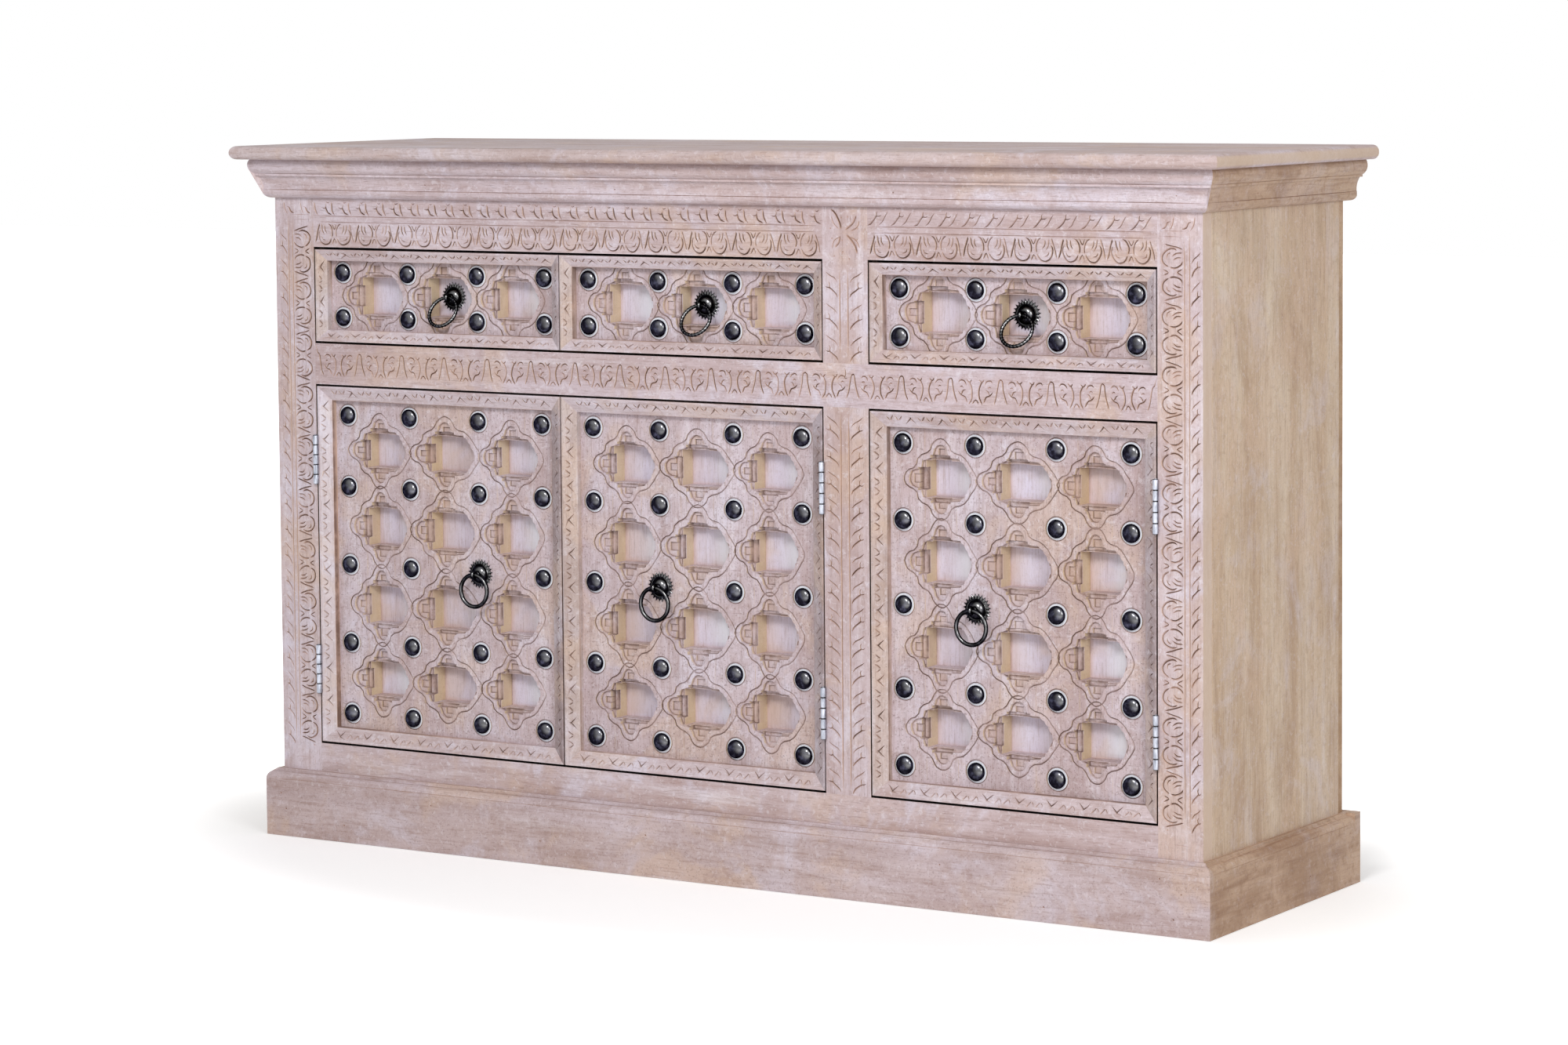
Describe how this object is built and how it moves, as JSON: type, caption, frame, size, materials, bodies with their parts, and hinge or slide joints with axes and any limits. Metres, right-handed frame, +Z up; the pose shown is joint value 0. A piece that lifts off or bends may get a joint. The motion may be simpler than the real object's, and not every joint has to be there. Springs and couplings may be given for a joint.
{
  "type": "carved sideboard cabinet",
  "caption": "Long limed-wood sideboard with carved lattice doors under a row of lattice drawers, iron ring pulls and dome studs, cornice top and plinth.",
  "frame": {"origin": "floor level, under the middle of the cabinet's bounding box", "axes": "+X to the right seen from the front, the fronts face -Y, +Z up"},
  "size_m": [1.42, 0.435, 0.9],
  "materials": {
    "limed_wood": "whitewashed, matte, carved, with brown in the grooves",
    "side_wood": "thin lime wash over tan wood, matte",
    "inner_wood": "plain, unpolished",
    "backing_board": "smooth, pale grey wash",
    "dark_iron": "blackened, waxed",
    "zinc": "zinc plated"
  },
  "bodies": {
    "carcass": {"top_board": "limed_wood", "cornice": "limed_wood", "side_panel_left": "side_wood", "side_panel_right": "side_wood", "bottom_board": "inner_wood", "back_panel": "inner_wood", "stile_left": "limed_wood", "stile_right": "limed_wood", "stile_center": "limed_wood", "rail_top": "limed_wood", "rail_middle": "limed_wood", "rail_bottom": "limed_wood", "plinth": "limed_wood", "partition": "inner_wood", "shelves": "inner_wood", "drawer_runners": "inner_wood", "hinge_frame_leaves": "zinc", "hinge_pins": "zinc"},
    "door_1": {"door_1_border": "limed_wood", "door_1_lattice": "limed_wood", "door_1_board": "backing_board", "door_1_studs": "dark_iron", "door_1_rosette": "dark_iron", "door_1_hinge_leaves": "zinc"},
    "door_1_pull": {"door_1_ring": "dark_iron"},
    "drawer_1": {"drawer_1_border": "limed_wood", "drawer_1_lattice": "limed_wood", "drawer_1_front": "backing_board", "drawer_1_box": "inner_wood", "drawer_1_studs": "dark_iron", "drawer_1_rosette": "dark_iron"},
    "drawer_1_pull": {"drawer_1_ring": "dark_iron"},
    "door_2": {"door_2_border": "limed_wood", "door_2_lattice": "limed_wood", "door_2_board": "backing_board", "door_2_studs": "dark_iron", "door_2_rosette": "dark_iron", "door_2_hinge_leaves": "zinc"},
    "door_2_pull": {"door_2_ring": "dark_iron"},
    "drawer_2": {"drawer_2_border": "limed_wood", "drawer_2_lattice": "limed_wood", "drawer_2_front": "backing_board", "drawer_2_box": "inner_wood", "drawer_2_studs": "dark_iron", "drawer_2_rosette": "dark_iron"},
    "drawer_2_pull": {"drawer_2_ring": "dark_iron"},
    "door_3": {"door_3_border": "limed_wood", "door_3_lattice": "limed_wood", "door_3_board": "backing_board", "door_3_studs": "dark_iron", "door_3_rosette": "dark_iron", "door_3_hinge_leaves": "zinc"},
    "door_3_pull": {"door_3_ring": "dark_iron"},
    "drawer_3": {"drawer_3_border": "limed_wood", "drawer_3_lattice": "limed_wood", "drawer_3_front": "backing_board", "drawer_3_box": "inner_wood", "drawer_3_studs": "dark_iron", "drawer_3_rosette": "dark_iron"},
    "drawer_3_pull": {"drawer_3_ring": "dark_iron"}
  },
  "joints": [
    {"name": "door_1_hinge", "type": "hinge", "parent": "carcass", "child": "door_1", "pos_m": [-0.607, -0.1771, 0.358], "axis": [0, 0, -1], "range_deg": [0, 110]},
    {"name": "door_1_ring_swing", "type": "hinge", "parent": "door_1", "child": "door_1_pull", "pos_m": [-0.36035, -0.1725, 0.358], "axis": [-1, 0, 0], "range_deg": [0, 90]},
    {"name": "drawer_1_slide", "type": "slide", "parent": "carcass", "child": "drawer_1", "axis": [0, -1, 0], "range_m": [0, 0.28]},
    {"name": "drawer_1_ring_swing", "type": "hinge", "parent": "drawer_1", "child": "drawer_1_pull", "pos_m": [-0.41483, -0.1465, 0.70725], "axis": [-1, 0, 0], "range_deg": [-3, 60]},
    {"name": "door_2_hinge", "type": "hinge", "parent": "carcass", "child": "door_2", "pos_m": [0.16167, -0.1771, 0.358], "axis": [0, 0, 1], "range_deg": [0, 110]},
    {"name": "door_2_ring_swing", "type": "hinge", "parent": "door_2", "child": "door_2_pull", "pos_m": [-0.08498, -0.1725, 0.358], "axis": [-1, 0, 0], "range_deg": [0, 90]},
    {"name": "drawer_2_slide", "type": "slide", "parent": "carcass", "child": "drawer_2", "axis": [0, -1, 0], "range_m": [0, 0.28]},
    {"name": "drawer_2_ring_swing", "type": "hinge", "parent": "drawer_2", "child": "drawer_2_pull", "pos_m": [-0.0305, -0.1465, 0.70725], "axis": [-1, 0, 0], "range_deg": [-3, 60]},
    {"name": "door_3_hinge", "type": "hinge", "parent": "carcass", "child": "door_3", "pos_m": [0.611, -0.1771, 0.358], "axis": [0, 0, 1], "range_deg": [0, 110]},
    {"name": "door_3_ring_swing", "type": "hinge", "parent": "door_3", "child": "door_3_pull", "pos_m": [0.36435, -0.1725, 0.358], "axis": [-1, 0, 0], "range_deg": [0, 90]},
    {"name": "drawer_3_slide", "type": "slide", "parent": "carcass", "child": "drawer_3", "axis": [0, -1, 0], "range_m": [0, 0.28]},
    {"name": "drawer_3_ring_swing", "type": "hinge", "parent": "drawer_3", "child": "drawer_3_pull", "pos_m": [0.41883, -0.1465, 0.70725], "axis": [-1, 0, 0], "range_deg": [-3, 60]}
  ]
}
